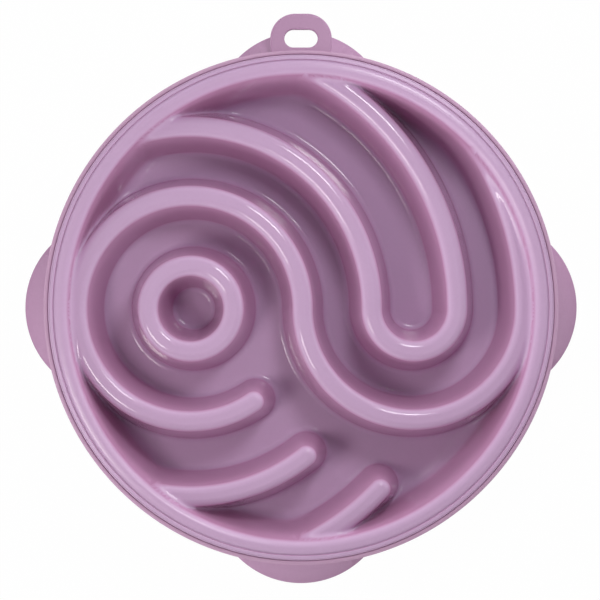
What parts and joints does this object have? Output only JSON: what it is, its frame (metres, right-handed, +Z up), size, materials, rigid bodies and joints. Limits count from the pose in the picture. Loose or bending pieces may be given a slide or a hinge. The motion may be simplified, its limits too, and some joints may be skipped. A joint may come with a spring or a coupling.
{
  "type": "slow feeder bowl",
  "caption": "Round slow feeder bowl with a ridged maze pan that lifts out of a base ring with grip ears, a hanging loop and soft non-slip pads.",
  "frame": {"origin": "on the surface the bowl stands on, under the middle of the whole outline; the bowl's own axis is 3.75 mm in front of it, at Y = -3.75 mm, because the loop reaches further back than the front ear reaches forward", "axes": "+Z up out of the bowl, +Y towards the hanging loop, +X to the right seen from above with the loop at the top"},
  "size_m": [0.302, 0.3096, 0.052],
  "materials": {
    "maze_plastic": "glossy moulded",
    "base_plastic": "satin, lightly textured",
    "pad_rubber": "matte"
  },
  "bodies": {
    "base": {"base_ring": "base_plastic", "non_slip_pad_1": "pad_rubber", "non_slip_pad_2": "pad_rubber", "non_slip_pad_3": "pad_rubber", "non_slip_pad_4": "pad_rubber"},
    "bowl": {"bowl_pan": "maze_plastic", "bowl_s_ridge": "maze_plastic", "bowl_ring_ridge": "maze_plastic", "bowl_hook_ridge": "maze_plastic", "bowl_left_spur": "maze_plastic", "bowl_front_spur": "maze_plastic"}
  },
  "joints": [
    {"name": "bowl_lift", "type": "slide", "parent": "base", "child": "bowl", "axis": [0, 0, 1], "range_m": [0, 0.06]}
  ]
}
